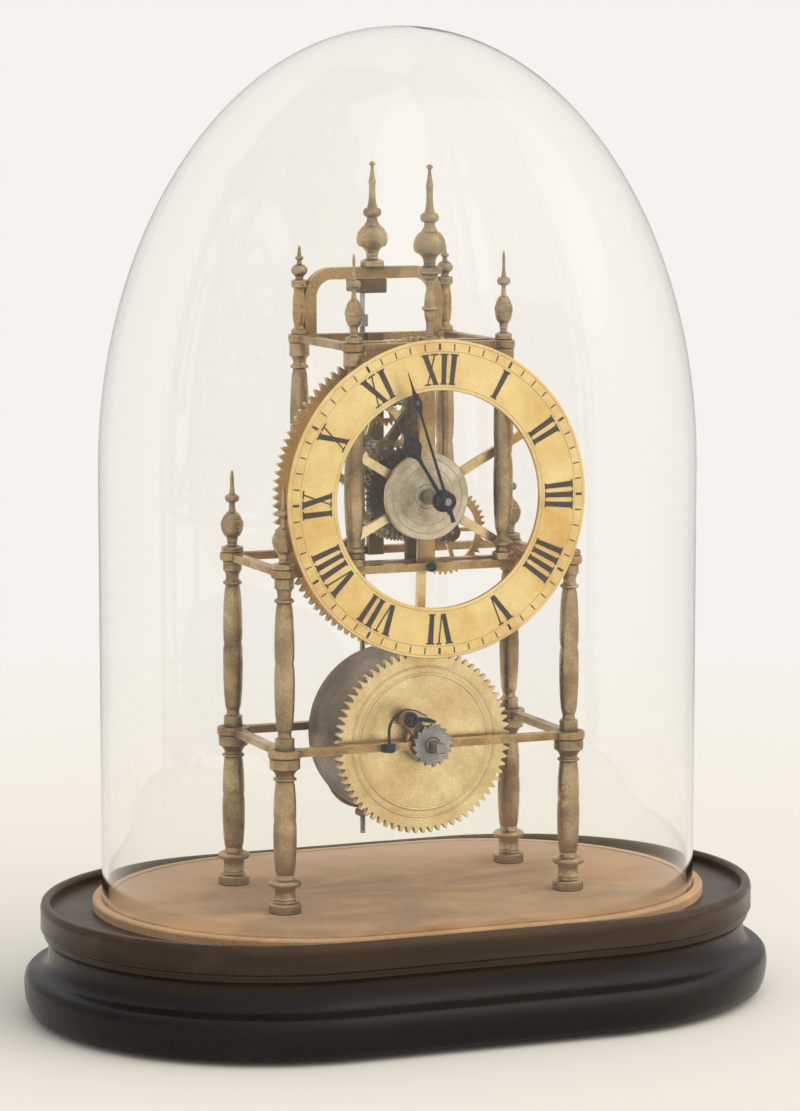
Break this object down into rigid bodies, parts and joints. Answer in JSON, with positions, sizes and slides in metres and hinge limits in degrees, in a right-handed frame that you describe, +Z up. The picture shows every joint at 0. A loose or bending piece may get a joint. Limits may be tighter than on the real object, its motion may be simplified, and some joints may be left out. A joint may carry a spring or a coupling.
{
  "type": "skeleton clock",
  "caption": "Pillar-framed skeleton clock with an open chapter ring, going barrel, wheel train and pendulum, on an oblong moulded base under a lift-off glass dome.",
  "frame": {"origin": "on the table under the middle of the base", "axes": "+X to the clock's right, +Y to its back, +Z up; the dial faces -Y"},
  "size_m": [0.318, 0.206, 0.403],
  "materials": {
    "ebonised_wood": "black polish over turned and moulded wood",
    "velvet": "worn rose-brown velvet pile",
    "clear_glass": "clear blown glass",
    "lacquered_brass": "old lacquered brass, slightly toned",
    "gilt_brass": "gilt brass with black filled numerals",
    "blued_steel": "heat-blued steel",
    "polished_steel": "polished steel"
  },
  "bodies": {
    "frame": {"back_arch": "lacquered_brass", "back_plate": "lacquered_brass", "back_spire": "lacquered_brass", "click_spring": "blued_steel", "dial_ring": "gilt_brass", "foot_back_left": "ebonised_wood", "foot_back_right": "ebonised_wood", "foot_front_left": "ebonised_wood", "foot_front_right": "ebonised_wood", "front_plate": "lacquered_brass", "front_spire": "lacquered_brass", "lower_finial_back_left": "lacquered_brass", "lower_finial_back_right": "lacquered_brass", "lower_finial_front_left": "lacquered_brass", "lower_finial_front_right": "lacquered_brass", "lower_frame": "lacquered_brass", "lower_pillar_back_left": "lacquered_brass", "lower_pillar_back_right": "lacquered_brass", "lower_pillar_front_left": "lacquered_brass", "lower_pillar_front_right": "lacquered_brass", "middle_frame": "lacquered_brass", "middle_plate": "lacquered_brass", "pendulum_cock": "lacquered_brass", "platform": "velvet", "plinth": "ebonised_wood", "upper_finial_back_left": "lacquered_brass", "upper_finial_back_right": "lacquered_brass", "upper_finial_front_left": "lacquered_brass", "upper_finial_front_right": "lacquered_brass", "upper_frame": "lacquered_brass", "upper_pillar_back_left": "lacquered_brass", "upper_pillar_back_right": "lacquered_brass", "upper_pillar_front_left": "lacquered_brass", "upper_pillar_front_right": "lacquered_brass"},
    "glass_dome": {"glass_dome": "clear_glass"},
    "barrel": {"barrel_drum": "lacquered_brass", "great_wheel": "lacquered_brass", "mainspring": "blued_steel"},
    "winding_arbor": {"barrel_arbor": "polished_steel", "ratchet_wheel": "polished_steel"},
    "click": {"click": "blued_steel"},
    "hour": {"hour_wheel": "lacquered_brass", "hour_pipe": "polished_steel", "hour_hand": "blued_steel"},
    "set": {"set_arbor": "polished_steel", "set_wheel": "lacquered_brass"},
    "centre": {"centre_arbor": "polished_steel", "centre_wheel": "lacquered_brass", "minute_hand": "blued_steel"},
    "third": {"third_arbor": "polished_steel", "third_wheel": "lacquered_brass"},
    "escape": {"escape_arbor": "polished_steel", "escape_wheel": "lacquered_brass"},
    "pallets": {"pallet_arbor": "polished_steel", "anchor": "polished_steel"},
    "pendulum": {"suspension_spring": "polished_steel", "pendulum_rod": "polished_steel", "pendulum_bob": "lacquered_brass"},
    "rating_nut": {"rating_nut": "lacquered_brass"}
  },
  "joints": [
    {"name": "dome_lift", "type": "slide", "parent": "frame", "child": "glass_dome", "axis": [0, 0, 1], "range_m": [0, 0.42]},
    {"name": "barrel_turn", "type": "hinge", "parent": "frame", "child": "barrel", "pos_m": [0, 0, 0.112], "axis": [0, 1, 0], "continuous": true},
    {"name": "hour_turn", "type": "hinge", "parent": "frame", "child": "hour", "pos_m": [0, 0, 0.2133], "axis": [0, 1, 0], "continuous": true},
    {"name": "set_turn", "type": "hinge", "parent": "frame", "child": "set", "pos_m": [0.01697, 0, 0.19633], "axis": [0, 1, 0], "continuous": true},
    {"name": "centre_turn", "type": "hinge", "parent": "frame", "child": "centre", "pos_m": [0, 0, 0.2133], "axis": [0, 1, 0], "continuous": true},
    {"name": "third_turn", "type": "hinge", "parent": "frame", "child": "third", "pos_m": [-0.0125, 0, 0.23231], "axis": [0, 1, 0], "continuous": true},
    {"name": "escape_turn", "type": "hinge", "parent": "frame", "child": "escape", "pos_m": [0, 0, 0.24918], "axis": [0, 1, 0], "continuous": true},
    {"name": "winding_turn", "type": "hinge", "parent": "frame", "child": "winding_arbor", "pos_m": [0, 0, 0.112], "axis": [0, 1, 0], "continuous": true},
    {"name": "click_lift", "type": "hinge", "parent": "frame", "child": "click", "pos_m": [-0.009, 0, 0.1225], "axis": [0, -1, 0], "range_deg": [0, 12], "deforming": ["click_spring"]},
    {"name": "pendulum_swing", "type": "hinge", "parent": "frame", "child": "pendulum", "pos_m": [0, 0.042, 0.2925], "axis": [0, 1, 0], "range_deg": [-2, 2]},
    {"name": "pallet_rock", "type": "hinge", "parent": "frame", "child": "pallets", "pos_m": [0, 0, 0.26468], "axis": [0, 1, 0], "range_deg": [-4, 4]},
    {"name": "rating_nut_turn", "type": "hinge", "parent": "pendulum", "child": "rating_nut", "pos_m": [0, 0.042, 0.071], "axis": [0, 0, 1], "continuous": true}
  ],
  "couplings": [
    {"joint": "barrel_turn", "follows": "centre_turn", "ratio": -0.14286},
    {"joint": "hour_turn", "follows": "centre_turn", "ratio": 0.083333},
    {"joint": "set_turn", "follows": "centre_turn", "ratio": -0.33333},
    {"joint": "third_turn", "follows": "centre_turn", "ratio": -12},
    {"joint": "escape_turn", "follows": "centre_turn", "ratio": 132},
    {"joint": "pallet_rock", "follows": "pendulum_swing", "ratio": 1.7836}
  ]
}
